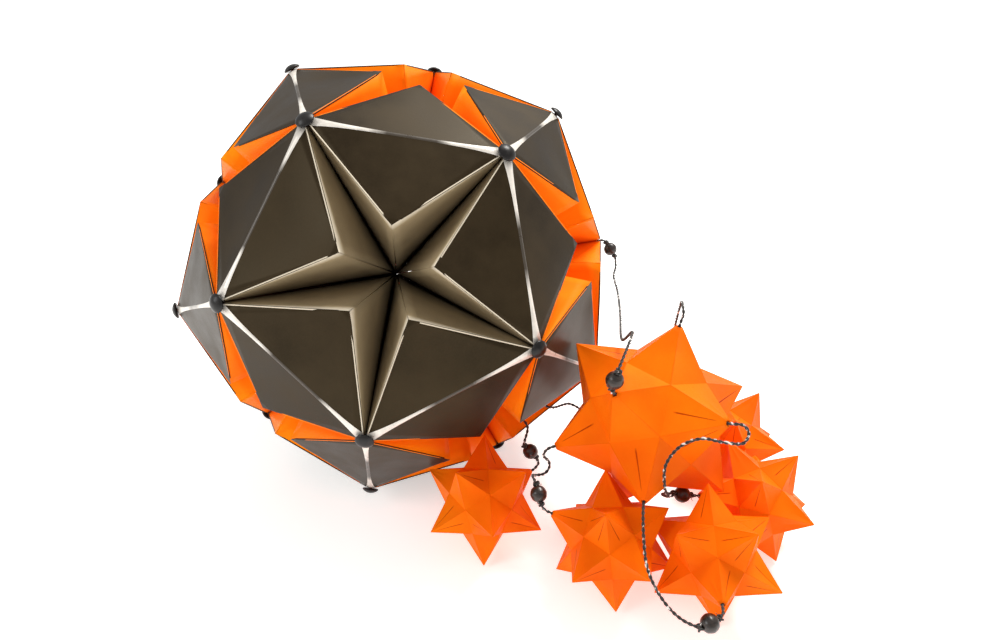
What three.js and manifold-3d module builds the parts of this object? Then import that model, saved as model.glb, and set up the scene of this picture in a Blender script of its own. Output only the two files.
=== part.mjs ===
// A modular paper ball of thirty folded modules with a beaded pendant of paper stars, lying on a table.
// Millimetres, +Z up. The origin is on the table under the centre of the ball, and the front faces -Y.
import * as THREE from 'three';
import { mergeVertices } from 'three/addons/utils/BufferGeometryUtils.js';
import Module from 'manifold-3d';

const wasm = await Module();
wasm.setup();

// Ball
const BALL_R = 106.8; // centre to a vertex
const CORNER_OUT = 18.2; // from a face's axis to the corners of its star recess
const CORNER_RISE = 11.4; // how far those corners stand above the plane of the face's vertices
const RECESS_DEPTH = 39.5; // from that plane down to the bottom of the recess
const PAPER = 0.6; // folded paper, several layers
const CREASE_HALF = 1.7; // half of the flat strip along a module's outer edge
const STRIP_BACK = 2.6; // the strip starts this far from the vertex
const TIP_BACK = 3.2; // the folds start this far from the vertex, clear of the stud's stem
const BOTTOM_BACK = 2.6; // the walls end this far from the bottom of the recess
const SEAM = 0.25; // half of the seam between two modules, in the plane of the wall
const YAW = -18.7; // degrees, the ball's turn on the table
const FLOOR_GAP = 0.02;

// Studs
const CAP_R = 3.75;
const CAP_RIM = 0.6;
const CAP_DOME = 1.6;
const CAP_SEAT = -0.5; // underside of the cap, measured outwards from the vertex radius
const STEM_R = 0.9;
const STEM_LENGTH = 3;
const STUD_SIDES = 20;

// Stars
const SMALL = { tip: 28.3, core: 17.1 }; // centre to the tips and to the inner corners
const LARGE = { tip: 43.7, core: 29.1 };
const TIP_CUT = 3; // a spike that holds a cord is open this far from its tip
const CUT_R = 6;
const TIP_REACH = 0.7; // cosine that parts a spike's five inner corners from the others

// Cords and beads
const CORD_R = 0.65;
const CORD_SIDES = 8;
const CORD_STEP = 3.2;
const BEAD_R = 3.5;
const BEAD_HOLE_R = 1;
const BEAD_SIDES = 20;
const BEAD_STEPS = 12;

const MATERIALS = {
  black: { color: 0x2b221a, roughness: 0.45 },
  orange: { color: 0xff7a08, roughness: 0.6 },
  stud: { color: 0x15120f, roughness: 0.4 },
  bead: { color: 0x120b08, roughness: 0.35 },
  cord: { color: 0x1a1512, roughness: 0.9 },
};

const group = new THREE.Group();
group.name = 'paper_kusudama_ball';

function vec(x, y, z) {
  return new THREE.Vector3(x, y, z);
}

function add(parent, name, geometry, material) {
  const mesh = new THREE.Mesh(geometry, new THREE.MeshStandardMaterial(MATERIALS[material]));
  mesh.name = name;
  parent.add(mesh);
  return mesh;
}

function solid(geometry) {
  const bare = new THREE.BufferGeometry();
  bare.setAttribute('position', geometry.getAttribute('position'));
  if (geometry.index) bare.setIndex(geometry.index);
  const merged = mergeVertices(bare, 1e-4);
  return new wasm.Manifold(
    new wasm.Mesh({
      numProp: 3,
      vertProperties: new Float32Array(merged.getAttribute('position').array),
      triVerts: new Uint32Array(merged.index.array),
    }),
  );
}

function toGeometry(manifold) {
  const mesh = manifold.getMesh();
  const geometry = new THREE.BufferGeometry();
  geometry.setAttribute('position', new THREE.BufferAttribute(new Float32Array(mesh.vertProperties), 3));
  geometry.setIndex(new THREE.BufferAttribute(new Uint32Array(mesh.triVerts), 1));
  geometry.computeVertexNormals();
  return geometry;
}

// Four rings of equal vertices: five to a ring is a dodecahedron on a face, three is an icosahedron.
const NEAR = 2 / (Math.sqrt(3) * (1 + Math.sqrt(5)) * Math.sin(Math.PI / 5)); // ring radius
const FAR = (NEAR * (1 + Math.sqrt(5))) / 2;

function ringVertices(count) {
  const high = Math.sqrt(1 - NEAR * NEAR);
  const low = Math.sqrt(1 - FAR * FAR);
  const rings = [
    [NEAR, -high, 0],
    [FAR, -low, count === 3 ? 1 : 0],
    [FAR, low, count === 3 ? 0 : 1],
    [NEAR, high, 1],
  ];
  const turn = Math.PI / count;
  return rings.flatMap(([radius, height, half]) =>
    Array.from({ length: count }, (_, i) => {
      const angle = (2 * i + half) * turn;
      return vec(radius * Math.cos(angle), radius * Math.sin(angle), height);
    }),
  );
}

function pairsAt(points, distance) {
  const pairs = [];
  for (let i = 0; i < points.length; i += 1) {
    for (let j = i + 1; j < points.length; j += 1) {
      if (Math.abs(points[i].distanceTo(points[j]) - distance) < 1e-3) pairs.push([i, j]);
    }
  }
  return pairs;
}

function shortest(points) {
  return Math.min(...points.slice(1).map((point) => point.distanceTo(points[0])));
}

// The directions of a shape's triangular or pentagonal faces, as the other shape's vertices.
function faceDirections(points, perFace) {
  const found = [];
  const edge = shortest(points);
  const isNear = (a, b) => Math.abs(a.distanceTo(b) - edge) < 1e-3;
  for (const [i, j] of pairsAt(points, edge)) {
    points.forEach((point, k) => {
      if (k === i || k === j || !isNear(point, points[j])) return;
      const normal = points[i].clone().sub(points[j]).cross(point.clone().sub(points[j])).normalize();
      if (normal.dot(points[j]) < 0) normal.negate();
      const members = points.filter((other) => Math.abs(other.dot(normal) - points[j].dot(normal)) < 1e-3);
      if (members.length === perFace && !found.some((other) => other.distanceTo(normal) < 1e-3)) {
        found.push(normal);
      }
    });
  }
  return found;
}

// A flat sheet: the outline extruded inwards, which is the side of the ball's centre.
function plate(outline, inward) {
  const [a, b, c] = outline;
  const normal = b.clone().sub(a).cross(c.clone().sub(a)).normalize();
  if (normal.dot(inward) < 0) normal.negate();
  const along = b.clone().sub(a).normalize();
  const across = normal.clone().cross(along);
  const shape = new THREE.Shape(
    outline.map((point) => {
      const local = point.clone().sub(a);
      return new THREE.Vector2(local.dot(along), local.dot(across));
    }),
  );
  const geometry = new THREE.ExtrudeGeometry(shape, { depth: PAPER, bevelEnabled: false });
  geometry.applyMatrix4(new THREE.Matrix4().makeBasis(along, across, normal).setPosition(a));
  return solid(geometry);
}

function toward(from, to, distance) {
  return from.clone().add(to.clone().sub(from).setLength(distance));
}

const VERTICES = ringVertices(5);
const FACES = faceDirections(VERTICES, 5);
const FACE_HEIGHT = Math.max(...VERTICES.map((vertex) => vertex.dot(FACES[0])));

function corner(face, a, b) {
  const centre = face.clone().multiplyScalar(BALL_R * FACE_HEIGHT);
  const middle = a.clone().add(b).multiplyScalar(0.5);
  return toward(centre, middle, CORNER_OUT).addScaledVector(face, CORNER_RISE);
}

// One wall of a star recess, from the vertex to the corner of the recess and down to its bottom.
function wall(vertex, cornerPoint, bottom, inward) {
  const fold = toward(vertex, cornerPoint, TIP_BACK);
  const valley = bottom.clone().sub(vertex).normalize();
  const side = cornerPoint.clone().sub(vertex);
  side.addScaledVector(valley, -side.dot(valley)).setLength(SEAM);
  const top = toward(vertex, bottom, TIP_BACK).add(side);
  const low = toward(bottom, vertex, BOTTOM_BACK).add(side);
  const ridge = toward(bottom, cornerPoint, BOTTOM_BACK);
  return plate([fold, cornerPoint, ridge, low, top], inward);
}

// One module: a flat strip on the outer edge, a panel on each side of it, and two walls beyond each panel.
function moduleSolid(a, b) {
  const outer = a.clone().add(b).normalize();
  const sides = FACES.filter((face) => [a, b].every((v) => Math.abs(v.dot(face) / BALL_R - FACE_HEIGHT) < 1e-3));
  const strip = [];
  let all = null;
  for (const face of sides) {
    const tip = corner(face, a, b);
    const bottom = face.clone().multiplyScalar(BALL_R * FACE_HEIGHT - RECESS_DEPTH);
    const across = tip.clone().sub(a.clone().add(b).multiplyScalar(0.5)).setLength(CREASE_HALF);
    const near = toward(a, b, STRIP_BACK).add(across);
    const far = toward(b, a, STRIP_BACK).add(across);
    const foldNear = toward(a, tip, TIP_BACK);
    const foldFar = toward(b, tip, TIP_BACK);
    strip.push([near, far]);
    const inward = outer.clone().negate();
    const between = inward.clone().addScaledVector(face, -inward.dot(face));
    const pieces = [
      plate([near, far, foldFar, tip, foldNear], inward),
      wall(a, tip, bottom, between.clone().negate().sub(face)),
      wall(b, tip, bottom, between.clone().negate().sub(face)),
    ];
    for (const piece of pieces) all = all ? all.add(piece) : piece;
  }
  const [[p, q], [r, s]] = strip;
  return all.add(plate([p, q, s, r], outer.clone().negate()));
}

function studGeometry() {
  const points = [new THREE.Vector2(0, CAP_SEAT - STEM_LENGTH), new THREE.Vector2(STEM_R, CAP_SEAT - STEM_LENGTH)];
  points.push(new THREE.Vector2(STEM_R, CAP_SEAT), new THREE.Vector2(CAP_R, CAP_SEAT));
  const steps = 6;
  for (let i = 0; i <= steps; i += 1) {
    const share = i / steps;
    const radius = CAP_R * Math.cos((share * Math.PI) / 2);
    const drop = domeDrop(radius);
    points.push(new THREE.Vector2(i === steps ? 0 : radius, CAP_SEAT + CAP_RIM + CAP_DOME - drop));
  }
  return new THREE.LatheGeometry(points, STUD_SIDES).rotateX(Math.PI / 2);
}

const DOME_R = (CAP_R * CAP_R + CAP_DOME * CAP_DOME) / (2 * CAP_DOME);

function domeDrop(radius) {
  return DOME_R - Math.sqrt(DOME_R * DOME_R - radius * radius);
}

// The ball rests on one stud and the two recess corners beside it, so it leans over from its foot face.
function restLean() {
  const domeCentre = BALL_R + CAP_SEAT + CAP_RIM + CAP_DOME - DOME_R;
  const out = domeCentre * NEAR - CORNER_OUT * Math.cos(Math.PI / 5);
  const down = domeCentre * FACE_HEIGHT - (BALL_R * FACE_HEIGHT + CORNER_RISE);
  return -Math.asin(DOME_R / Math.hypot(out, down)) + Math.atan2(-down, out);
}

// The studs that are modelled as pieces of their own, by vertex: the other eight are only in the visual model.
const STUDS = {
  foot: 0,
  front_foot: 4,
  right_low: 5,
  front_bottom: 9,
  front_left: 13,
  front_right: 14,
  top_right: 15,
  top_back: 16,
  top_left: 17,
  front_top_left: 18,
  front_top_right: 19,
};

function ballFrame() {
  const turn = new THREE.Matrix4().makeRotationZ(THREE.MathUtils.degToRad(YAW));
  return turn.multiply(new THREE.Matrix4().makeRotationY(restLean()));
}

function restHeight() {
  const lean = restLean();
  const out = CORNER_OUT * Math.cos(Math.PI / 5);
  const down = BALL_R * FACE_HEIGHT + CORNER_RISE;
  return out * Math.sin(lean) + down * Math.cos(lean) + FLOOR_GAP;
}

function buildBall() {
  const ball = new THREE.Group();
  ball.name = 'ball';
  const points = VERTICES.map((vertex) => vertex.clone().multiplyScalar(BALL_R));
  pairsAt(points, shortest(points)).forEach(([i, j], k) => {
    const name = `module_${String(k + 1).padStart(2, '0')}`;
    add(ball, name, toGeometry(moduleSolid(points[i], points[j])), 'black');
  });
  for (const [name, index] of Object.entries(STUDS)) {
    const stud = add(ball, `stud_${name}`, studGeometry(), 'stud');
    stud.quaternion.setFromUnitVectors(vec(0, 0, 1), VERTICES[index]);
    stud.position.copy(points[index]);
  }
  ball.applyMatrix4(ballFrame());
  ball.position.z = restHeight();
  group.add(ball);
}

const TIPS = ringVertices(3);
const CORES = faceDirections(TIPS, 3);

// Twelve five-sided spikes: the tips and the inner corners between them.
function spikes(tipR, coreR) {
  const count = TIPS.length;
  const indices = [];
  const near = shortest(CORES) + 1e-3;
  TIPS.forEach((tip, i) => {
    const around = CORES.map((core, k) => [core, count + k]).filter(([core]) => core.dot(tip) > TIP_REACH);
    for (const [p, k] of around) {
      for (const [q, m] of around) {
        if (k === m || p.distanceTo(q) > near || tip.clone().dot(p.clone().cross(q)) < 0) continue;
        indices.push(i, k, m);
      }
    }
  });
  const points = [...TIPS, ...CORES];
  const geometry = new THREE.PolyhedronGeometry(points.flatMap((p) => p.toArray()), indices, 1, 0);
  const position = geometry.getAttribute('position');
  for (let i = 0; i < position.count; i += 1) {
    const direction = vec(0, 0, 0).fromBufferAttribute(position, i);
    const isTip = TIPS.some((tip) => tip.distanceTo(direction) < 1e-3);
    direction.multiplyScalar(isTip ? tipR : coreR);
    position.setXYZ(i, direction.x, direction.y, direction.z);
  }
  return solid(geometry);
}

function starGeometry({ tip, core }, open) {
  const shell = spikes(tip, core);
  const [a, b, c] = starFace(tip, core);
  const reach = b.clone().sub(a).cross(c.clone().sub(a)).normalize().dot(a);
  const share = 1 - PAPER / Math.abs(reach);
  let star = shell.subtract(spikes(tip * share, core * share));
  for (const index of open) {
    const cut = new THREE.CylinderGeometry(CUT_R, CUT_R, TIP_CUT * 2, BEAD_SIDES).rotateX(Math.PI / 2);
    cut.applyQuaternion(new THREE.Quaternion().setFromUnitVectors(vec(0, 0, 1), TIPS[index]));
    cut.translate(...TIPS[index].clone().multiplyScalar(tip).toArray());
    star = star.subtract(solid(cut));
  }
  return toGeometry(star);
}

function starFace(tip, core) {
  const around = CORES.filter((direction) => direction.dot(TIPS[0]) > TIP_REACH);
  const next = around.slice(1).sort((p, q) => p.distanceTo(around[0]) - q.distanceTo(around[0]))[0];
  return [TIPS[0].clone().multiplyScalar(tip), around[0].clone().multiplyScalar(core), next.clone().multiplyScalar(core)];
}

const STARS = [
  { name: 'star_large', size: LARGE, at: [110.4, -76.1, 62.2], turn: [0.2, -22.7, -167.6], open: [9, 10, 7, 3, 6, 5] },
  { name: 'star_1', size: SMALL, at: [39.6, -83.3, 24], turn: [0.4, 6.4, -83.1], open: [7] },
  { name: 'star_2', size: SMALL, at: [159, -41.4, 23], turn: [-1.4, -2.2, -38.5], open: [8] },
  { name: 'star_3', size: SMALL, at: [157.1, -85.7, 23.6], turn: [-2.3, 3.8, -49.4], open: [8] },
  { name: 'star_4', size: SMALL, at: [91.6, -109.4, 25], turn: [-2.6, 13.5, 171.9], open: [6] },
  { name: 'star_5', size: SMALL, at: [131.2, -117.6, 24.4], turn: [6, -7.8, -96.8], open: [6] },
];

function buildStars() {
  for (const { name, size, at, turn, open } of STARS) {
    const star = add(group, name, starGeometry(size, open), 'orange');
    star.position.set(...at);
    star.rotation.set(...turn.map(THREE.MathUtils.degToRad), 'XYZ');
  }
}

// A straight bore keeps the bead clear of the cord that runs through it.
function beadGeometry() {
  const points = [];
  const start = Math.asin(BEAD_HOLE_R / BEAD_R);
  for (let i = 0; i <= BEAD_STEPS; i += 1) {
    const angle = start + ((Math.PI - 2 * start) * i) / BEAD_STEPS;
    points.push(new THREE.Vector2(BEAD_R * Math.sin(angle), -BEAD_R * Math.cos(angle)));
  }
  points.push(points[0].clone());
  return new THREE.LatheGeometry(points, BEAD_SIDES).rotateX(Math.PI / 2);
}

// Each cord runs between two openings; the named points are where its beads sit.
const CORDS = [
  {
    name: 'cord_main',
    beads: { bead_top: 5, bead_large: 14 },
    route: [
      [98.4, 29.6, 101.1], [100.8, 30.3, 101.2], [102.4, 30.8, 101.3], [104, 31, 100.9],
      [105.4, 30.7, 99.5], [107.4, 29.8, 96.5], [109.7, 28.7, 93.1], [110, 24.2, 88.8],
      [108.1, 17.7, 86.5], [108.1, 4.2, 84], [104, -29.9, 87.3], [99.6, -60.4, 91.1],
      [99.1, -82.8, 106.3], [90.4, -104.3, 102.3], [89.6, -103.6, 98], [88.8, -103, 94.1],
      [88.8, -102.6, 92.7], [89.4, -101.7, 91.3], [90.8, -100.1, 89.5], [92, -98.6, 87.8],
    ],
  },
  {
    name: 'cord_1',
    beads: { bead_1: 11 },
    route: [
      [89.6, -48, 45.7], [88.2, -46.1, 44.7], [86.4, -43.6, 43.2], [84.7, -40.2, 42.6],
      [80.8, -38.7, 43.7], [78, -40.2, 44.3], [71.8, -45.5, 46.3], [61.9, -48.3, 51.2],
      [56.7, -54.1, 48.9], [59.6, -59.6, 45.4], [58, -63.4, 37.9], [60.8, -63.4, 34.5],
      [63.6, -63.5, 31.1], [64.4, -64.4, 28.4], [62.6, -66.4, 26.9], [60.3, -68.1, 26.6],
      [58.3, -69.6, 26.4],
    ],
  },
  {
    name: 'cord_2',
    beads: { bead_2: 13 },
    route: [
      [119.7, -71.2, 99.5], [120.3, -70.9, 101.9], [121.2, -70.4, 105.3], [121.8, -70.1, 107.8],
      [121.9, -68.2, 110], [123.1, -60.8, 108.7], [124.4, -53.8, 101.7], [125.2, -47.8, 91.3],
      [125.4, -43.6, 78.8], [123.7, -42.9, 64.9], [120.4, -46, 51], [118.8, -51.5, 38.4],
      [122.3, -55.6, 29.4], [127.1, -53.7, 28.5], [131.9, -51.9, 27.7], [135.2, -50.6, 27.1],
      [137.5, -49.7, 26.7],
    ],
  },
  {
    name: 'cord_3',
    beads: { bead_3: 14 },
    route: [
      [131.3, -104.3, 78.8], [132.6, -106.1, 79.8], [134.5, -108.7, 81.3], [137.4, -110.3, 81.7],
      [139, -112.2, 79.6], [137, -113.9, 76.4], [130, -113.2, 76.3], [122.7, -110.2, 75.9],
      [115.6, -108.7, 71.5], [110, -111, 64.5], [109.9, -113.4, 55.5], [113.4, -107.8, 46.2],
      [114, -97.6, 38.2], [119.2, -92.6, 33.9], [124.2, -91.7, 32.6], [129.1, -90.8, 31.2],
      [132.6, -90.2, 30.3], [134.9, -89.7, 29.6],
    ],
  },
  {
    name: 'cord_4',
    beads: { bead_4: 12 },
    route: [
      [73.3, -84.2, 54.6], [70.9, -84.8, 54.1], [67.6, -85.5, 53.4], [65.9, -85.8, 52],
      [65.3, -85.7, 50], [65.7, -85.3, 48.3], [67.5, -84.7, 45.9], [67.8, -85.1, 42.7],
      [65.8, -86.3, 40.6], [61.7, -88.7, 41.6], [60.4, -92, 44.3], [61.5, -96.6, 44],
      [62.5, -99.8, 41.2], [63.4, -103.1, 38.5], [64.2, -104.3, 37.4], [65.7, -104.8, 36.5],
      [68.3, -105.3, 35.3], [70.6, -105.7, 34.3],
    ],
  },
  {
    name: 'cord_5',
    beads: { bead_5: 9 },
    route: [
      [102.6, -112.4, 51], [102.1, -114.7, 50.2], [101.4, -118, 49.2], [100.9, -120.6, 48.2],
      [100.6, -126.1, 41.8], [101.2, -134.1, 34.4], [105.4, -142.6, 28.3], [110.8, -148.8, 25.6],
      [116.8, -151.9, 24.9], [120.9, -150.8, 25.3], [124.9, -148.9, 26.1], [126.3, -147.8, 26.4],
      [126.9, -145.9, 26.3], [127.3, -143.1, 26.2], [127.7, -140.6, 26],
    ],
  },
];

function cordGeometry(points) {
  const shape = new THREE.Shape();
  for (let i = 0; i < CORD_SIDES; i += 1) {
    const angle = (2 * Math.PI * (i + 0.5)) / CORD_SIDES;
    const [x, y] = [CORD_R * Math.cos(angle), CORD_R * Math.sin(angle)];
    if (i === 0) shape.moveTo(x, y);
    else shape.lineTo(x, y);
  }
  const path = new THREE.CatmullRomCurve3(points, false, 'centripetal');
  const steps = Math.round(path.getLength() / CORD_STEP);
  return new THREE.ExtrudeGeometry(shape, { steps, extrudePath: path });
}

function buildCords() {
  for (const { name, beads, route } of CORDS) {
    const points = route.map((point) => vec(...point));
    add(group, name, toGeometry(solid(cordGeometry(points))), 'cord');
    for (const [beadName, index] of Object.entries(beads)) {
      const bead = add(group, beadName, beadGeometry(), 'bead');
      const along = points[index + 1].clone().sub(points[index - 1]).normalize();
      bead.position.copy(points[index]);
      bead.quaternion.setFromUnitVectors(vec(0, 0, 1), along);
    }
  }
}

buildBall();
buildStars();
buildCords();

export default group;
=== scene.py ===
"""Visual model of a modular paper ball with a beaded pendant of paper stars, in the CAD frame, in metres."""

import math
import random

import bmesh
import bpy
import numpy as np
from mathutils import Matrix, Quaternion, Vector


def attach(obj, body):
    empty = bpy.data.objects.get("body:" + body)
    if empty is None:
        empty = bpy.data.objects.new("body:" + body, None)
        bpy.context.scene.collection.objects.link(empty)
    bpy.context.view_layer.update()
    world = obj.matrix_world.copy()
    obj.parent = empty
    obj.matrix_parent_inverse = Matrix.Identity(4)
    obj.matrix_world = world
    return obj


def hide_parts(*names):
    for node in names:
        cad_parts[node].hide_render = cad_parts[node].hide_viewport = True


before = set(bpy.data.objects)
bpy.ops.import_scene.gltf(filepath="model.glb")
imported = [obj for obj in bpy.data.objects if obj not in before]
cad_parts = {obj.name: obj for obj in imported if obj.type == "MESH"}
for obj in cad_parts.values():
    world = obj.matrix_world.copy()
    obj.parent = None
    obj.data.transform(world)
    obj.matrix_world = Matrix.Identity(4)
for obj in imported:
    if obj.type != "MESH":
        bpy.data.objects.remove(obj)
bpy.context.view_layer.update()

MM = 0.001
rng = random.Random(7)

# The camera
LENS = 25.38
SENSOR = 36
CAMERA_PLACE = (0.04765, -0.32354, 0.23769)
CAMERA_TILT = math.radians(90 - 27.4)
CAMERA_ROLL = math.radians(-0.8)

# The ball, with the solid model's driving sizes. Its seams are closed up, as the folded sheets are thin.
BALL_R = 106.8 * MM
CORNER_OUT = 18.2 * MM
CORNER_RISE = 11.4 * MM
RECESS_DEPTH = 39.5 * MM
TIP_BACK = 3.2 * MM
BOTTOM_BACK = 1.1 * MM
SEAM = 0.03 * MM
YAW = math.radians(-18.7)
FLOOR_GAP = 0.02 * MM
SHEET = 0.5 * MM
BALL_FOLD = 0.3 * MM  # rounding of the ball's folds
STAR_FOLD = 0.22 * MM
STRIP_MID = 0.75 * MM  # half-width of the flattened edge half-way along a module

CAP_R = 3.75 * MM
CAP_RIM = 0.6 * MM
CAP_DOME = 1.6 * MM
CAP_SEAT = -0.5 * MM
STEM_R = 0.9 * MM
STEM_LENGTH = 3 * MM

BEAD_R = 3.5 * MM
BEAD_HOLE_R = 1.0 * MM
PLY_R = 0.34 * MM
PLY_OFFSET = 0.33 * MM
PLY_PITCH = 4.2 * MM
CORD_STEP = 0.45 * MM
KNOT_GAP = 0.8 * MM

# Radius to a star's tips, and to the inner corners between its spikes
SMALL = (28.3 * MM, 17.1 * MM)
LARGE = (43.7 * MM, 29.1 * MM)
OPEN_CUT = 2.3 * MM  # how far back a tip is open where a cord enters
TIP_HOLE = 0.3 * MM
TIP_REACH = 0.7  # cosine that tells a tip's own inner corners from the others

# Name, body, size, centre in millimetres, turns about X, Y and Z in degrees, and the tips that cords open
STARS = [
    ("star_large", "pendant", LARGE, (110.4, -76.1, 62.2), (0.2, -22.7, -167.6), (9, 10, 7, 3, 6, 5)),
    ("star_1", "star_1", SMALL, (39.6, -83.3, 24), (0.4, 6.4, -83.1), (7,)),
    ("star_2", "star_2", SMALL, (159, -41.4, 23), (-1.4, -2.2, -38.5), (8,)),
    ("star_3", "star_3", SMALL, (157.1, -85.7, 23.6), (-2.3, 3.8, -49.4), (8,)),
    ("star_4", "star_4", SMALL, (91.6, -109.4, 25), (-2.6, 13.5, 171.9), (6,)),
    ("star_5", "star_5", SMALL, (131.2, -117.6, 24.4), (6, -7.8, -96.8), (6,)),
]

# Route of each cord, with the place of its beads along it
CORDS = {
    "cord_main": (
        {"bead_top": 5, "bead_large": 14},
        [
            (0.0984, 0.0296, 0.1011), (0.1008, 0.0303, 0.1012), (0.1024, 0.0308, 0.1013),
            (0.104, 0.031, 0.1009), (0.1054, 0.0307, 0.0995), (0.1074, 0.0298, 0.0965),
            (0.1097, 0.0287, 0.0931), (0.11, 0.0242, 0.0888), (0.1081, 0.0177, 0.0865),
            (0.1081, 0.0042, 0.084), (0.104, -0.0299, 0.0873), (0.0996, -0.0604, 0.0911),
            (0.0991, -0.0828, 0.1063), (0.0904, -0.1043, 0.1023), (0.0896, -0.1036, 0.098),
            (0.0888, -0.103, 0.0941), (0.0888, -0.1026, 0.0927), (0.0894, -0.1017, 0.0913),
            (0.0908, -0.1001, 0.0895), (0.092, -0.0986, 0.0878),
        ],
    ),
    "cord_1": (
        {"bead_1": 11},
        [
            (0.0896, -0.048, 0.0457), (0.0882, -0.0461, 0.0447), (0.0864, -0.0436, 0.0432),
            (0.0847, -0.0402, 0.0426), (0.0808, -0.0387, 0.0437), (0.078, -0.0402, 0.0443),
            (0.0718, -0.0455, 0.0463), (0.0619, -0.0483, 0.0512), (0.0567, -0.0541, 0.0489),
            (0.0596, -0.0596, 0.0454), (0.058, -0.0634, 0.0379), (0.0608, -0.0634, 0.0345),
            (0.0636, -0.0635, 0.0311), (0.0644, -0.0644, 0.0284), (0.0626, -0.0664, 0.0269),
            (0.0603, -0.0681, 0.0266), (0.0583, -0.0696, 0.0264),
        ],
    ),
    "cord_2": (
        {"bead_2": 13},
        [
            (0.1197, -0.0712, 0.0995), (0.1203, -0.0709, 0.1019), (0.1212, -0.0704, 0.1053),
            (0.1218, -0.0701, 0.1078), (0.1219, -0.0682, 0.11), (0.1231, -0.0608, 0.1087),
            (0.1244, -0.0538, 0.1017), (0.1252, -0.0478, 0.0913), (0.1254, -0.0436, 0.0788),
            (0.1237, -0.0429, 0.0649), (0.1204, -0.046, 0.051), (0.1188, -0.0515, 0.0384),
            (0.1223, -0.0556, 0.0294), (0.1271, -0.0537, 0.0285), (0.1319, -0.0519, 0.0277),
            (0.1352, -0.0506, 0.0271), (0.1375, -0.0497, 0.0267),
        ],
    ),
    "cord_3": (
        {"bead_3": 14},
        [
            (0.1313, -0.1043, 0.0788), (0.1326, -0.1061, 0.0798), (0.1345, -0.1087, 0.0813),
            (0.1374, -0.1103, 0.0817), (0.139, -0.1122, 0.0796), (0.137, -0.1139, 0.0764),
            (0.13, -0.1132, 0.0763), (0.1227, -0.1102, 0.0759), (0.1156, -0.1087, 0.0715),
            (0.11, -0.111, 0.0645), (0.1099, -0.1134, 0.0555), (0.1134, -0.1078, 0.0462),
            (0.114, -0.0976, 0.0382), (0.1192, -0.0926, 0.0339), (0.1242, -0.0917, 0.0326),
            (0.1291, -0.0908, 0.0312), (0.1326, -0.0902, 0.0303), (0.1349, -0.0897, 0.0296),
        ],
    ),
    "cord_4": (
        {"bead_4": 12},
        [
            (0.0733, -0.0842, 0.0546), (0.0709, -0.0848, 0.0541), (0.0676, -0.0855, 0.0534),
            (0.0659, -0.0858, 0.052), (0.0653, -0.0857, 0.05), (0.0657, -0.0853, 0.0483),
            (0.0675, -0.0847, 0.0459), (0.0678, -0.0851, 0.0427), (0.0658, -0.0863, 0.0406),
            (0.0617, -0.0887, 0.0416), (0.0604, -0.092, 0.0443), (0.0615, -0.0966, 0.044),
            (0.0625, -0.0998, 0.0412), (0.0634, -0.1031, 0.0385), (0.0642, -0.1043, 0.0374),
            (0.0657, -0.1048, 0.0365), (0.0683, -0.1053, 0.0353), (0.0706, -0.1057, 0.0343),
        ],
    ),
    "cord_5": (
        {"bead_5": 9},
        [
            (0.1026, -0.1124, 0.051), (0.1021, -0.1147, 0.0502), (0.1014, -0.118, 0.0492),
            (0.1009, -0.1206, 0.0482), (0.1006, -0.1261, 0.0418), (0.1012, -0.1341, 0.0344),
            (0.1054, -0.1426, 0.0283), (0.1108, -0.1488, 0.0256), (0.1168, -0.1519, 0.0249),
            (0.1209, -0.1508, 0.0253), (0.1249, -0.1489, 0.0261), (0.1263, -0.1478, 0.0264),
            (0.1269, -0.1459, 0.0263), (0.1273, -0.1431, 0.0262), (0.1277, -0.1406, 0.026),
        ],
    ),
}


# ---------------------------------------------------------------- camera, floor and light
def make_camera():
    data = bpy.data.cameras.new("camera")
    data.lens = LENS
    data.sensor_width = SENSOR
    data.clip_start = 0.01
    camera = bpy.data.objects.new("camera", data)
    turn = Matrix.Rotation(CAMERA_TILT, 4, "X") @ Matrix.Rotation(CAMERA_ROLL, 4, "Z")
    camera.matrix_world = Matrix.Translation(CAMERA_PLACE) @ turn
    bpy.context.scene.collection.objects.link(camera)
    bpy.context.scene.camera = camera


def add_light(name, place, target, size, power, colour=(1, 1, 1)):
    data = bpy.data.lights.new(name, "AREA")
    data.shape = "DISK"
    data.size = size
    data.energy = power
    data.color = colour
    light = bpy.data.objects.new(name, data)
    light.location = place
    light.rotation_euler = (Vector(target) - Vector(place)).to_track_quat("-Z", "Y").to_euler()
    bpy.context.scene.collection.objects.link(light)
    return light


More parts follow.
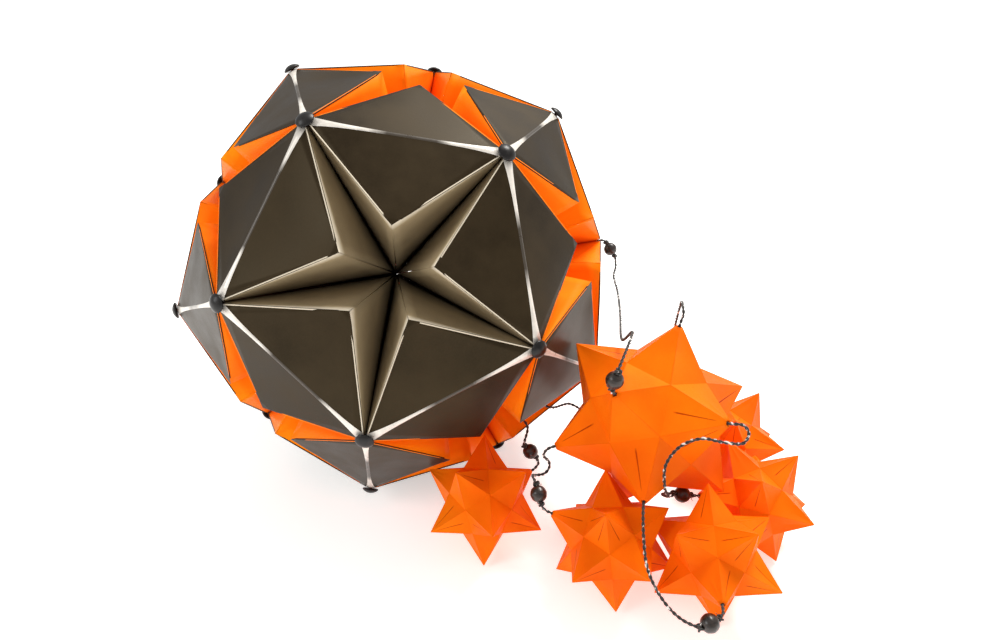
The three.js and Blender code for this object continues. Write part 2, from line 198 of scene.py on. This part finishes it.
# ---------------------------------------------------------------- materials
class Nodes:
    """Short-hand for building one procedural material."""

    def __init__(self, name):
        self.material = bpy.data.materials.new(name)
        self.material.use_nodes = True
        self.tree = self.material.node_tree
        self.bsdf = self.tree.nodes["Principled BSDF"]
        self.coords = self.tree.nodes.new("ShaderNodeTexCoord")

    def link(self, a, b):
        self.tree.links.new(a, b)

    def noise(self, scale, detail=4.0, roughness=0.55, stretch=None, source="Object"):
        node = self.tree.nodes.new("ShaderNodeTexNoise")
        node.inputs["Scale"].default_value = scale
        node.inputs["Detail"].default_value = detail
        node.inputs["Roughness"].default_value = roughness
        vector = self.coords.outputs[source]
        if stretch:
            mapping = self.tree.nodes.new("ShaderNodeMapping")
            mapping.inputs["Scale"].default_value = stretch
            self.link(vector, mapping.inputs["Vector"])
            vector = mapping.outputs["Vector"]
        self.link(vector, node.inputs["Vector"])
        return node.outputs["Fac"]

    def ramp(self, value, *stops):
        node = self.tree.nodes.new("ShaderNodeValToRGB")
        ramp = node.color_ramp
        while len(ramp.elements) < len(stops):
            ramp.elements.new(0.5)
        for element, (place, colour) in zip(ramp.elements, stops):
            element.position = place
            element.color = (*colour, 1) if len(colour) == 3 else colour
        self.link(value, node.inputs["Fac"])
        return node.outputs["Color"]

    def level(self, value, low, high, out_low=0.0, out_high=1.0):
        node = self.tree.nodes.new("ShaderNodeMapRange")
        node.inputs["From Min"].default_value = low
        node.inputs["From Max"].default_value = high
        node.inputs["To Min"].default_value = out_low
        node.inputs["To Max"].default_value = out_high
        self.link(value, node.inputs["Value"])
        return node.outputs["Result"]

    def math(self, operation, a, b):
        node = self.tree.nodes.new("ShaderNodeMath")
        node.operation = operation
        for socket, value in zip(node.inputs, (a, b)):
            if isinstance(value, (int, float)):
                socket.default_value = value
            else:
                self.link(value, socket)
        return node.outputs["Value"]

    def mix(self, factor, a, b, blend="MIX"):
        node = self.tree.nodes.new("ShaderNodeMix")
        node.data_type = "RGBA"
        node.blend_type = blend
        for socket, value in ((node.inputs[0], factor), (node.inputs[6], a), (node.inputs[7], b)):
            if isinstance(value, (int, float)):
                socket.default_value = value
            elif isinstance(value, tuple):
                socket.default_value = (*value, 1)
            else:
                self.link(value, socket)
        return node.outputs[2]

    def uv(self, name):
        node = self.tree.nodes.new("ShaderNodeUVMap")
        node.uv_map = name
        split = self.tree.nodes.new("ShaderNodeSeparateXYZ")
        self.link(node.outputs["UV"], split.inputs["Vector"])
        return split.outputs["X"], split.outputs["Y"]

    def bump(self, height, strength, distance=0.0003):
        node = self.tree.nodes.new("ShaderNodeBump")
        node.inputs["Strength"].default_value = strength
        node.inputs["Distance"].default_value = distance
        self.link(height, node.inputs["Height"])
        self.link(node.outputs["Normal"], self.bsdf.inputs["Normal"])

    def set(self, **values):
        for key, value in values.items():
            socket = self.bsdf.inputs[key.replace("_", " ")]
            if isinstance(value, (int, float)):
                socket.default_value = value
            elif isinstance(value, tuple):
                socket.default_value = (*value, 1)
            else:
                self.link(value, socket)


def black_paper(name, dark, light, roughness, painted_shading=False):
    """Satin black sheet with a faint bronze cast, fine tooth and soft mottling. On recess walls it can also
    take a painted highlight along the rolled fold and painted shade towards the valley.
    """
    n = Nodes(name)
    mottle = n.noise(38, 5, 0.6)
    grain = n.noise(1500, 3, 0.7)
    cloud = n.ramp(mottle, (0.32, dark), (0.72, light))
    colour = n.mix(n.level(grain, 0.3, 0.8, 0, 0.35), cloud, light)
    if painted_shading:
        _, depth = n.uv("facet")
        # Painted highlight: pale bronze along the rolled fold at the top of the wall.
        colour = n.mix(n.level(depth, 0.1, 0.02), colour, (0.68, 0.6, 0.47))
        # Painted shade: near black, deepening down towards the valley at the bottom of the wall.
        colour = n.mix(n.level(depth, 0.62, 1.0, 0, 0.85), colour, (0.03, 0.02, 0.012))
    n.set(Base_Color=colour)
    n.set(Roughness=n.level(mottle, 0.3, 0.7, roughness - 0.07, roughness + 0.09))
    n.set(Specular_IOR_Level=0.22, Specular_Tint=(1.0, 0.78, 0.45))
    n.bump(grain, 0.22, 0.00012)
    return n.material


def orange_paper(name, deep, bright, painted_glow, slits=False, painted_shading=False):
    """Dyed matte sheet: fibre grain, slight colour drift, and a painted glow in place of light that soaks
    through it. On recess walls it can also take painted shade towards the valley.
    """
    n = Nodes(name)
    drift = n.noise(30, 4, 0.5)
    fibre = n.noise(900, 5, 0.75)
    colour = n.ramp(drift, (0.3, deep), (0.7, bright))
    colour = n.mix(n.level(fibre, 0.35, 0.75, 0, 0.18), colour, deep)
    height = fibre
    if painted_shading:
        _, depth = n.uv("facet")
        # Painted shade: deeper red down towards the valley of the recess.
        colour = n.mix(n.level(depth, 0.35, 1.0, 0, 0.9), colour, (0.72, 0.03, 0.0))
    if slits:
        across, along = n.uv("facet")
        pick, edge = n.uv("edge")
        off = n.math("ABSOLUTE", n.math("SUBTRACT", across, 0.5), 0)
        narrow = n.level(off, 0.0, 0.03, 1, 0)
        run = n.math("MULTIPLY", n.level(along, 0.12, 0.2), n.level(along, 0.86, 0.8))
        line = n.math("MULTIPLY", n.math("MULTIPLY", narrow, run), n.level(pick, 0.52, 0.55))
        colour = n.mix(line, colour, (0.32, 0.012, 0.0))
        fold = n.level(edge, 0.02, 0.0)
        colour = n.mix(n.math("MULTIPLY", fold, 0.45), colour, (0.72, 0.09, 0.0))
        height = n.math("SUBTRACT", fibre, n.math("MULTIPLY", line, 3.0))
    n.set(Base_Color=colour, Roughness=n.level(fibre, 0.3, 0.7, 0.5, 0.66))
    n.set(Specular_IOR_Level=0.12, Specular_Tint=(1.0, 0.6, 0.2))
    # Painted glow: the sheet's own colour emitted, in place of light that soaks through the paper and bounces
    # between the walls.
    n.set(Emission_Color=colour, Emission_Strength=painted_glow)
    n.bump(height, 0.25, 0.00015)
    return n.material


def edge_paper(name, painted_glint_colour):
    """The pressed outer fold, shining against the panels: the paper's own near black half-way along, with a
    painted cream glint towards the studs in place of the reflection of the bright surroundings.
    """
    n = Nodes(name)
    glint_and_rough_noise = n.noise(120, 5, 0.7)
    along, _ = n.uv("facet")
    # Painted glint: pale cream towards both ends of the edge, near the studs, fading to near black half-way
    # along, broken up by noise.
    middle = n.math("ABSOLUTE", n.math("SUBTRACT", along, 0.5), 0)
    painted_glint_mask = n.math("ADD", n.level(middle, 0.06, 0.3), n.level(n.noise(22, 2, 0.5), 0.35, 0.65, -0.45, 0.45))
    painted_glint_tone = n.ramp(glint_and_rough_noise, (0.3, tuple(0.72 * c for c in painted_glint_colour)), (0.62, painted_glint_colour))
    n.set(Base_Color=n.mix(n.level(painted_glint_mask, 0.25, 0.75), (0.05, 0.036, 0.022), painted_glint_tone))
    n.set(Roughness=n.level(glint_and_rough_noise, 0.3, 0.7, 0.24, 0.42), Metallic=0.15, Specular_IOR_Level=0.8)
    n.bump(n.noise(700, 4, 0.7), 0.2, 0.0001)
    return n.material


def stud_metal():
    n = Nodes("stud_black")
    haze = n.noise(420, 4, 0.6)
    n.set(Base_Color=n.ramp(haze, (0.35, (0.004, 0.003, 0.003)), (0.7, (0.014, 0.012, 0.011))))
    n.set(Roughness=n.level(haze, 0.3, 0.7, 0.28, 0.44), Specular_IOR_Level=0.3, Coat_Weight=0.05)
    n.bump(n.noise(1600, 3, 0.6), 0.12, 0.0001)
    return n.material


def pin_metal():
    n = Nodes("pin_steel")
    line = n.noise(900, 3, 0.6, stretch=(1, 1, 0.1))
    n.set(Base_Color=n.ramp(line, (0.3, (0.45, 0.44, 0.42)), (0.7, (0.8, 0.78, 0.75))))
    n.set(Metallic=0.9, Roughness=n.level(line, 0.3, 0.7, 0.22, 0.4))
    n.bump(line, 0.15, 0.0001)
    return n.material


def bead_material():
    n = Nodes("bead_brown")
    ring = n.noise(500, 4, 0.6, stretch=(1, 1, 3))
    n.set(Base_Color=n.ramp(ring, (0.35, (0.008, 0.005, 0.004)), (0.7, (0.035, 0.02, 0.013))))
    n.set(Roughness=n.level(ring, 0.3, 0.7, 0.27, 0.45), Coat_Weight=0.2)
    n.bump(ring, 0.35, 0.0002)
    return n.material


def thread(name, low, high, place):
    n = Nodes(name)
    fuzz = n.noise(2400, 4, 0.7)
    tone_and_glint_spots = n.noise(420, 2, 0.5)
    # Spots of the high colour: a slightly lighter random tone on the black thread, painted pale glints on the
    # other.
    n.set(Base_Color=n.mix(n.level(tone_and_glint_spots, place, place + 0.05), low, high))
    n.set(Roughness=n.level(fuzz, 0.3, 0.7, 0.38, 0.62), Sheen_Weight=0.2)
    n.bump(fuzz, 0.5, 0.0002)
    return n.material


def floor_material():
    n = Nodes("floor_white")
    n.set(Base_Color=n.ramp(n.noise(3, 2, 0.5), (0.3, (0.93, 0.925, 0.915)), (0.7, (0.955, 0.95, 0.945))))
    n.set(Roughness=0.75, Specular_IOR_Level=0.2, Emission_Color=(1.0, 0.99, 0.975), Emission_Strength=0.5)
    return n.material


# ---------------------------------------------------------------- shared shapes
NEAR = 2 / (math.sqrt(3) * (1 + math.sqrt(5)) * math.sin(math.pi / 5))
FAR = NEAR * (1 + math.sqrt(5)) / 2


def ring_vertices(count):
    """A dodecahedron on a face for rings of five, an icosahedron for rings of three."""
    high, low = math.sqrt(1 - NEAR**2), math.sqrt(1 - FAR**2)
    rings = [(NEAR, -high, 0), (FAR, -low, int(count == 3)), (FAR, low, int(count != 3)), (NEAR, high, 1)]
    points = []
    for radius, height, half in rings:
        for i in range(count):
            angle = (2 * i + half) * math.pi / count
            points.append(Vector((radius * math.cos(angle), radius * math.sin(angle), height)))
    return points


def shortest(points):
    return min((p - points[0]).length for p in points[1:])


def pairs_at(points, distance):
    count = len(points)
    return [
        (i, j)
        for i in range(count)
        for j in range(i + 1, count)
        if abs((points[i] - points[j]).length - distance) < 1e-3 * distance
    ]


def face_directions(points, per_face):
    """In the same order as the solid model finds them."""
    found = []
    edge = shortest(points)
    for i, j in pairs_at(points, edge):
        for k, point in enumerate(points):
            if k in (i, j) or abs((point - points[j]).length - edge) > 1e-3:
                continue
            normal = (points[i] - points[j]).cross(point - points[j]).normalized()
            if normal.dot(points[j]) < 0:
                normal.negate()
            members = [p for p in points if abs((p - points[j]).dot(normal)) < 1e-3]
            if len(members) == per_face and all((f - normal).length > 1e-3 for f in found):
                found.append(normal)
    return found


def toward(a, b, distance):
    return a + (b - a).normalized() * distance


class Surface:
    """Collects grids of points into one welded sheet, with a material and two UV maps per face."""

    def __init__(self):
        self.bm = bmesh.new()
        self.facet = self.bm.loops.layers.uv.new("facet")
        self.edge = self.bm.loops.layers.uv.new("edge")

    def grid(self, point, rows, cols, outward, material=0, pick=0.0, rim=None):
        verts = [
            [self.bm.verts.new(point(r / rows, c / cols)) for c in range(cols + 1)]
            for r in range(rows + 1)
        ]
        for r in range(rows):
            for c in range(cols):
                ring = [(r, c), (r, c + 1), (r + 1, c + 1), (r + 1, c)]
                corners = [verts[i][j] for i, j in ring]
                normal = (corners[1].co - corners[0].co).cross(corners[3].co - corners[0].co)
                if normal.dot(outward) < 0:
                    corners.reverse()
                    ring.reverse()
                face = self.bm.faces.new(corners)
                face.material_index = material
                face.smooth = True
                for loop, (i, j) in zip(face.loops, ring):
                    across, along = j / cols, i / rows
                    loop[self.facet].uv = (across, along)
                    loop[self.edge].uv = (pick, min(across, 1 - across) * (rim or 1))

    def finish(self, name, materials, thickness, bevel, sharp=8, inner=False):
        bmesh.ops.remove_doubles(self.bm, verts=self.bm.verts, dist=2e-6)
        mesh = bpy.data.meshes.new(name)
        self.bm.to_mesh(mesh)
        self.bm.free()
        mesh.set_sharp_from_angle(angle=math.radians(sharp))
        for material in materials:
            mesh.materials.append(material)
        obj = bpy.data.objects.new(name, mesh)
        bpy.context.scene.collection.objects.link(obj)
        rounding = obj.modifiers.new("fold", "BEVEL")
        rounding.width = bevel
        rounding.segments = 2
        rounding.limit_method = "ANGLE"
        rounding.angle_limit = math.radians(24)
        solid = obj.modifiers.new("sheet", "SOLIDIFY")
        solid.thickness = thickness
        solid.offset = -1
        solid.material_offset = len(materials) - 1 if inner else 0
        return obj


def lathe(name, profile, sides, materials, slots=None):
    """Revolves (radius, height) points about Z; ends on the axis close the shape."""
    bm = bmesh.new()
    rings = []
    for radius, height in profile:
        if radius < 1e-7:
            rings.append([bm.verts.new((0, 0, height))])
            continue
        turn = [2 * math.pi * k / sides for k in range(sides)]
        rings.append([bm.verts.new((radius * math.cos(t), radius * math.sin(t), height)) for t in turn])
    for level, (low, high) in enumerate(zip(rings, rings[1:])):
        for k in range(sides):
            m = (k + 1) % sides
            if len(low) == 1:
                corners = [low[0], high[m], high[k]]
            elif len(high) == 1:
                corners = [low[k], low[m], high[0]]
            else:
                corners = [low[k], low[m], high[m], high[k]]
            face = bm.faces.new(corners)
            face.smooth = True
            face.material_index = slots[level] if slots else 0
    bmesh.ops.remove_doubles(bm, verts=bm.verts, dist=1e-8)
    bmesh.ops.recalc_face_normals(bm, faces=bm.faces)
    mesh = bpy.data.meshes.new(name)
    bm.to_mesh(mesh)
    bm.free()
    for material in materials:
        mesh.materials.append(material)
    obj = bpy.data.objects.new(name, mesh)
    bpy.context.scene.collection.objects.link(obj)
    return obj


# ---------------------------------------------------------------- ball
VERTICES = ring_vertices(5)
FACES = face_directions(VERTICES, 5)
FACE_HEIGHT = max(v.dot(FACES[0]) for v in VERTICES)
CORD_VERTEX = 10  # the pendant's cord leaves here, in place of a stud
FRONT_FACE = (19, 18, 13, 9, 14)

STUD_NODES = {
    0: "stud_foot",
    4: "stud_front_foot",
    5: "stud_right_low",
    9: "stud_front_bottom",
    13: "stud_front_left",
    14: "stud_front_right",
    15: "stud_top_right",
    16: "stud_top_back",
    17: "stud_top_left",
    18: "stud_front_top_left",
    19: "stud_front_top_right",
}


def rest_lean():
    dome = (CAP_R**2 + CAP_DOME**2) / (2 * CAP_DOME)
    centre = BALL_R + CAP_SEAT + CAP_RIM + CAP_DOME - dome
    out = centre * NEAR - CORNER_OUT * math.cos(math.pi / 5)
    down = centre * FACE_HEIGHT - (BALL_R * FACE_HEIGHT + CORNER_RISE)
    return -math.asin(dome / math.hypot(out, down)) + math.atan2(-down, out)


def ball_frame():
    lean = rest_lean()
    out = CORNER_OUT * math.cos(math.pi / 5)
    down = BALL_R * FACE_HEIGHT + CORNER_RISE
    height = out * math.sin(lean) + down * math.cos(lean) + FLOOR_GAP
    turn = Matrix.Rotation(YAW, 4, "Z") @ Matrix.Rotation(lean, 4, "Y")
    return Matrix.Translation((0, 0, height)) @ turn


def black_faces():
    """Three faces lined in black: the front one and its two turns about the cord's vertex."""
    front = max(FACES, key=lambda f: sum(VERTICES[i].dot(f) for i in FRONT_FACE))
    axis = VERTICES[CORD_VERTEX]
    turns = [Quaternion(axis, math.radians(angle)) @ front for angle in (0, 120, 240)]
    return [min(FACES, key=lambda f: (f - t).length) for t in turns]


def build_module(name, a, b, dark, place, materials):
    outer = (a + b).normalized()
    middle = (a + b) / 2
    length = (b - a).length
    inset = TIP_BACK * math.cos(math.pi / 4)
    sheet = Surface()
    sides = [f for f in FACES if all(abs(v.dot(f) / BALL_R - FACE_HEIGHT) < 1e-3 for v in (a, b))]
    base = []
    for face in sides:
        centre = face * (BALL_R * FACE_HEIGHT)
        tip = toward(centre, middle, CORNER_OUT) + face * CORNER_RISE
        bottom = face * (BALL_R * FACE_HEIGHT - RECESS_DEPTH)
        across = (tip - middle).normalized()
        bow = rng.uniform(-0.5, 0.9) * MM
        twist = rng.uniform(-0.3, 0.3) * MM
        normal = (b - a).cross(tip - a).normalized()
        if normal.dot(outer) < 0:
            normal.negate()

        def foot(q, across=across):
            along = inset + q * (length - 2 * inset)
            width = STRIP_MID + (inset - STRIP_MID) * (2 * q - 1) ** 4
            return a + (b - a).normalized() * along + across * width

        def panel(r, c, foot=foot, tip=tip, normal=normal, bow=bow, twist=twist):
            point = foot(c).lerp(tip, r * 0.995)
            inner = math.sin(math.pi * c) * math.sin(math.pi * min(r * 1.15, 1))
            return point - normal * (bow * inner + twist * math.sin(2 * math.pi * c) * inner)

        sheet.grid(panel, 12, 14, outer, 0)
        base.append(foot)
        lining = 2 if dark(face) else 3
        for end in (a, b):
            valley = (bottom - end).normalized()
            side = tip - end
            side = (side - valley * side.dot(valley)).normalized() * SEAM
            fold = toward(end, tip, TIP_BACK)
            top = toward(end, bottom, TIP_BACK) + side
            low = toward(bottom, end, BOTTOM_BACK) + side
            facing = (end - tip).cross(bottom - tip).normalized()
            if facing.dot(face * BALL_R - middle) < 0:
                facing.negate()
            curl = rng.uniform(0.1, 0.7) * MM

            def wall(r, c, fold=fold, tip=tip, top=top, low=low, facing=facing, curl=curl):
                point = fold.lerp(tip, c * 0.995).lerp(top.lerp(low, c), r)
                return point - facing * (curl * math.sin(math.pi * c) * math.sin(math.pi * r))

            sheet.grid(wall, 8, 12, facing, lining)

    def strip(r, c):
        point = base[0](c).lerp(base[1](c), r)
        return point + outer * (0.35 * MM * math.sin(math.pi * r))

    sheet.grid(strip, 4, 14, outer, 1)
    obj = sheet.finish(name, materials, SHEET, BALL_FOLD, inner=True)
    obj.data.transform(place)
    return obj


def build_ball(materials):
    place = ball_frame()
    dark_faces = black_faces()

    def dark(face):
        return any((face - f).length < 1e-3 for f in dark_faces)

    points = [v * BALL_R for v in VERTICES]
    for k, (i, j) in enumerate(pairs_at(points, shortest(points))):
        node = f"module_{k + 1:02d}"
        obj = build_module(f"paper_{node}", points[i], points[j], dark, place, materials)
        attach(obj, "ball")
        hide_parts(node)


def build_studs(head, pin):
    place = ball_frame()
    steps = 10
    dome = (CAP_R**2 + CAP_DOME**2) / (2 * CAP_DOME)
    low = CAP_SEAT - STEM_LENGTH
    profile = [(0, low), (STEM_R, low), (STEM_R, CAP_SEAT), (CAP_R - 0.25 * MM, CAP_SEAT)]
    profile += [(CAP_R, CAP_SEAT + 0.2 * MM), (CAP_R, CAP_SEAT + CAP_RIM - 0.1 * MM)]
    slots = [1, 1, 0, 0, 0]
    for i in range(steps + 1):
        radius = CAP_R * math.cos(i / steps * math.pi / 2) * (0.97 if i < steps else 0)
        drop = dome - math.sqrt(dome**2 - radius**2)
        profile.append((radius, CAP_SEAT + CAP_RIM + CAP_DOME - drop))
        slots.append(0)
    for k, vertex in enumerate(VERTICES):
        if k == CORD_VERTEX:
            continue
        node = STUD_NODES.get(k)
        obj = lathe(f"cap_{node or k}", profile, 40, [head, pin], slots)
        turn = vertex.to_track_quat("Z", "Y").to_matrix().to_4x4()
        obj.data.transform(place @ Matrix.Translation(vertex * BALL_R) @ turn)
        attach(obj, "ball")
        if node:
            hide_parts(node)


# ---------------------------------------------------------------- stars
TIPS = ring_vertices(3)
CORES = face_directions(TIPS, 3)


def build_star(name, body, size, centre, turn, opened, material):
    tip_r, core_r = size
    near = shortest(CORES) * 1.01
    sheet = Surface()
    for k, tip in enumerate(TIPS):
        around = [c for c in CORES if c.dot(tip) > TIP_REACH]
        apex = tip * tip_r
        for p in around:
            for q in around:
                if p is q or (p - q).length > near or tip.dot(p.cross(q)) < 0:
                    continue
                left, right = p * core_r, q * core_r
                outward = (left - apex).cross(right - apex).normalized()
                if outward.dot(apex) < 0:
                    outward.negate()
                cut = OPEN_CUT if k in opened else TIP_HOLE
                reach = 1 - cut / (apex - left).length
                bow = rng.uniform(0.15, 0.55) * MM
                crease = rng.uniform(-0.12, 0.22) * MM

                shape = (left, right, apex, outward, reach, bow, crease)

                def facet(r, c, shape=shape):
                    left, right, apex, outward, reach, bow, crease = shape
                    point = left.lerp(right, c).lerp(apex, r * reach)
                    inner = math.sin(math.pi * c) * math.sin(math.pi * min(1, r * 1.05))
                    ridge = max(0, 1 - abs(c - 0.5) * 6) * math.sin(math.pi * r)
                    return point - outward * (bow * inner - crease * ridge)

                sheet.grid(facet, 10, 8, outward, 0, pick=rng.random(), rim=(left - right).length / tip_r)
    obj = sheet.finish(f"paper_{name}", [material], SHEET, STAR_FOLD, sharp=10)
    spin = Matrix.Identity(4)
    for degrees, axis in zip(turn, "XYZ"):
        spin = spin @ Matrix.Rotation(math.radians(degrees), 4, axis)
    obj.data.transform(Matrix.Translation(Vector(centre) * MM) @ spin)
    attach(obj, body)
    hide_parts(name)
    return obj


# ---------------------------------------------------------------- cords, beads and knots
def spline(points, per_span):
    """Centripetal Catmull-Rom curve through the route's points."""
    route = [Vector(p) for p in points]
    line = []
    for i in range(len(route) - 1):
        p1, p2 = route[i], route[i + 1]
        p0 = route[i - 1] if i else p1 * 2 - p2
        p3 = route[i + 2] if i + 2 < len(route) else p2 * 2 - p1
        d0, d1, d2 = (max(d.length, 1e-9) ** 0.5 for d in (p1 - p0, p2 - p1, p3 - p2))
        m1 = ((p1 - p0) / d0 - (p2 - p0) / (d0 + d1) + (p2 - p1) / d1) * d1
        m2 = ((p2 - p1) / d1 - (p3 - p1) / (d1 + d2) + (p3 - p2) / d2) * d1
        for k in range(per_span):
            t = k / per_span
            h = (2 * t**3 - 3 * t**2 + 1, t**3 - 2 * t**2 + t, 3 * t**2 - 2 * t**3, t**3 - t**2)
            line.append(p1 * h[0] + m1 * h[1] + p2 * h[2] + m2 * h[3])
    line.append(route[-1])
    return line


def even(line, step):
    """The same line with points at even distances, and its length."""
    co = np.array([tuple(p) for p in line])
    run = np.concatenate([[0], np.cumsum(np.linalg.norm(np.diff(co, axis=0), axis=1))])
    count = max(8, int(round(run[-1] / step)))
    at = np.linspace(0, run[-1], count + 1)
    return [Vector(p) for p in np.stack([np.interp(at, run, co[:, k]) for k in range(3)], axis=1)], run[-1]


def transport(line):
    """A frame at each point that doesn't spin along the line."""
    frames = []
    previous = (line[1] - line[0]).normalized()
    normal = previous.orthogonal().normalized()
    for i, point in enumerate(line):
        ahead = line[min(i + 1, len(line) - 1)] - line[max(i - 1, 0)]
        tangent = ahead.normalized()
        normal = previous.rotation_difference(tangent) @ normal
        normal = (normal - tangent * normal.dot(tangent)).normalized()
        frames.append((tangent, normal, tangent.cross(normal)))
        previous = tangent
    return frames


def tube(bm, line, radius, sides, material=0, taper=False):
    frames = transport(line)
    rings = []
    for i, (point, (_, u, v)) in enumerate(zip(line, frames)):
        size = radius * (1 - 0.75 * i / (len(line) - 1)) if taper else radius
        turn = [2 * math.pi * k / sides for k in range(sides)]
        rings.append([bm.verts.new(point + (u * math.cos(t) + v * math.sin(t)) * size) for t in turn])
    for low, high in zip(rings, rings[1:]):
        for k in range(sides):
            m = (k + 1) % sides
            face = bm.faces.new([low[k], low[m], high[m], high[k]])
            face.smooth = True
            face.material_index = material
    for ring, flip in ((rings[0], True), (rings[-1], False)):
        face = bm.faces.new(list(reversed(ring)) if flip else ring)
        face.material_index = material


def object_from(bm, name, materials):
    bmesh.ops.recalc_face_normals(bm, faces=bm.faces)
    mesh = bpy.data.meshes.new(name)
    bm.to_mesh(mesh)
    bm.free()
    for material in materials:
        mesh.materials.append(material)
    obj = bpy.data.objects.new(name, mesh)
    bpy.context.scene.collection.objects.link(obj)
    return obj


def build_rope(name, route, materials):
    """Two plies twisted about the route."""
    line, length = even(spline(route, 12), CORD_STEP)
    frames = transport(line)
    step = length / (len(line) - 1)
    bm = bmesh.new()
    for ply in range(2):
        strand = []
        for i, (point, (_, u, v)) in enumerate(zip(line, frames)):
            angle = 2 * math.pi * i * step / PLY_PITCH + ply * math.pi
            strand.append(point + (u * math.cos(angle) + v * math.sin(angle)) * PLY_OFFSET)
        # The second ply takes the black thread with painted pale glints.
        tube(bm, strand, PLY_R, 8, ply)
    obj = object_from(bm, f"rope_{name}", materials)
    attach(obj, "pendant")
    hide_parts(name)
    return obj, line, length


def build_knot(name, place, direction, size, materials):
    """A small overhand knot with two frayed ends."""
    bm = bmesh.new()
    turns = [2 * math.pi * k / 64 for k in range(65)]
    loop = [
        Vector((math.sin(t) + 2 * math.sin(2 * t), math.cos(t) - 2 * math.cos(2 * t), -1.6 * math.sin(3 * t)))
        for t in turns
    ]
    tube(bm, [p * size / 3 for p in loop], 0.42 * MM, 8)
    for _ in range(2):
        lean = Vector((rng.uniform(-1, 1), rng.uniform(-1, 1), rng.uniform(-0.5, 0.5))).normalized()
        end = lean * rng.uniform(1.9, 2.8) * MM
        bend = Vector((rng.uniform(-1, 1), rng.uniform(-1, 1), rng.uniform(-1, 1))) * 0.4 * MM
        # The frayed ends take the black thread with painted pale glints.
        tube(bm, [lean * 0.4 * MM, end * 0.6 + bend, end], 0.3 * MM, 6, 1, taper=True)
    obj = object_from(bm, name, materials)
    turn = direction.to_track_quat("Z", "Y").to_matrix().to_4x4()
    obj.data.transform(Matrix.Translation(place) @ turn)
    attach(obj, "pendant")
    return obj


def build_bead(name, place, direction, material):
    steps = 22
    start = math.asin(BEAD_HOLE_R / BEAD_R)
    profile = []
    for i in range(steps + 1):
        angle = start + (math.pi - 2 * start) * i / steps
        swell = 1 + 0.012 * math.sin(9 * angle)
        profile.append((BEAD_R * math.sin(angle) * swell * 0.985, -BEAD_R * math.cos(angle)))
    profile.append(profile[0])
    obj = lathe(f"round_{name}", profile, 36, [material])
    obj.data.transform(Matrix.Translation(place) @ direction.to_track_quat("Z", "Y").to_matrix().to_4x4())
    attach(obj, name)
    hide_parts(name)
    return obj


def build_pendant(threads, bead):
    for name, (beads, route) in CORDS.items():
        rope, line, length = build_rope(name, route, threads)
        for bead_name, index in beads.items():
            place = Vector(route[index])
            along = (Vector(route[index + 1]) - Vector(route[index - 1])).normalized()
            build_bead(bead_name, place, along, bead)
            gap = BEAD_R + KNOT_GAP
            build_knot(f"knot_{bead_name}_a", place - along * gap, along, 1.25 * MM, threads)
            build_knot(f"knot_{bead_name}_b", place + along * gap, along, 1.1 * MM, threads)


# ---------------------------------------------------------------- scene
def build_stage():
    bpy.ops.mesh.primitive_grid_add(x_subdivisions=12, y_subdivisions=12, size=60)
    floor = bpy.context.object
    floor.name = "floor"
    floor.data.materials.append(floor_material())
    world = bpy.data.worlds.new("studio")
    world.use_nodes = True
    back = world.node_tree.nodes["Background"]
    back.inputs["Color"].default_value = (1.0, 0.995, 0.985, 1)
    back.inputs["Strength"].default_value = 0.62
    bpy.context.scene.world = world
    add_light("key", (0.55, 0.5, 1.3), (0.05, -0.03, 0.08), 0.6, 24, (1, 0.98, 0.94))
    add_light("side", (-0.9, -0.5, 0.7), (0, 0, 0.1), 0.6, 4)


make_camera()
bpy.context.scene.view_settings.view_transform = "Standard"
build_stage()
paper = [
    black_paper("paper_black", (0.011, 0.007, 0.004), (0.034, 0.023, 0.012), 0.42),
    edge_paper("paper_edge_glint", (0.86, 0.8, 0.72)),
    # The black paper of the front recesses, coloured light bronze as a painted sheen, many times lighter than
    # the same paper on the outer panels.
    black_paper("paper_black_lining_painted_sheen", (0.27, 0.205, 0.12), (0.42, 0.33, 0.2), 0.36, painted_shading=True),
    # Orange lining with a painted glow and painted shade towards its valleys.
    orange_paper("paper_orange_lining", (0.92, 0.15, 0.002), (0.98, 0.26, 0.004), 0.06, painted_shading=True),
    black_paper("paper_inside", (0.02, 0.003, 0.001), (0.05, 0.008, 0.003), 0.6),
]
build_ball(paper)
build_studs(stud_metal(), pin_metal())
# Star paper with a weaker painted glow.
star_paper = orange_paper("paper_orange_star", (0.84, 0.1, 0.001), (0.93, 0.18, 0.002), 0.03, slits=True)
for entry in STARS:
    build_star(*entry, star_paper)
threads = [
    thread("thread_black", (0.012, 0.01, 0.008), (0.05, 0.04, 0.035), 0.6),
    # A black thread spotted with painted pale glints in place of its glossy highlights.
    thread("thread_painted_glint", (0.02, 0.016, 0.013), (0.75, 0.72, 0.68), 0.56),
]
build_pendant(threads, bead_material())
